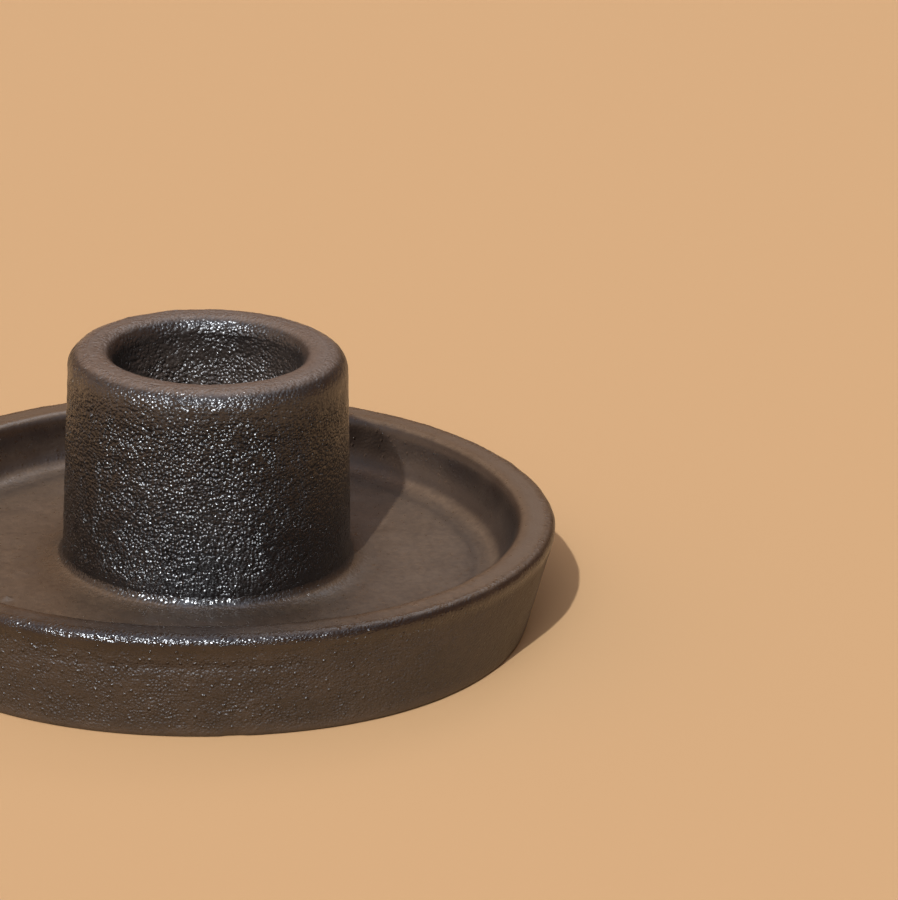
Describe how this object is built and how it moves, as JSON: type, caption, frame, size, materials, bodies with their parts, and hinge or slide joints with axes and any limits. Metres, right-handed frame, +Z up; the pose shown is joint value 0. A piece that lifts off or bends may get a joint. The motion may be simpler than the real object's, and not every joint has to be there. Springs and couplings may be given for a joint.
{
  "type": "candle holder",
  "caption": "Low round ceramic candle holder: a flared dish with a soft rounded rim and a thick upright socket for a dinner candle, under a dark pebbled satin glaze.",
  "frame": {"origin": "centre of the foot ring, on the surface that the dish stands on", "axes": "+Z up along the socket's own axis; the holder is round, so +X and +Y may point anywhere"},
  "size_m": [0.0904, 0.0904, 0.0358],
  "materials": {
    "dish_glaze": "satin near-black glaze, finely pebbled, smoother on the floor of the dish",
    "socket_glaze": "satin near-black glaze, strongly pebbled",
    "joint_glaze": "satin near-black glaze over a smoothed joint"
  },
  "bodies": {
    "root": {"saucer": "dish_glaze", "candle_socket": "socket_glaze", "socket_joint_coil": "joint_glaze"}
  },
  "joints": []
}
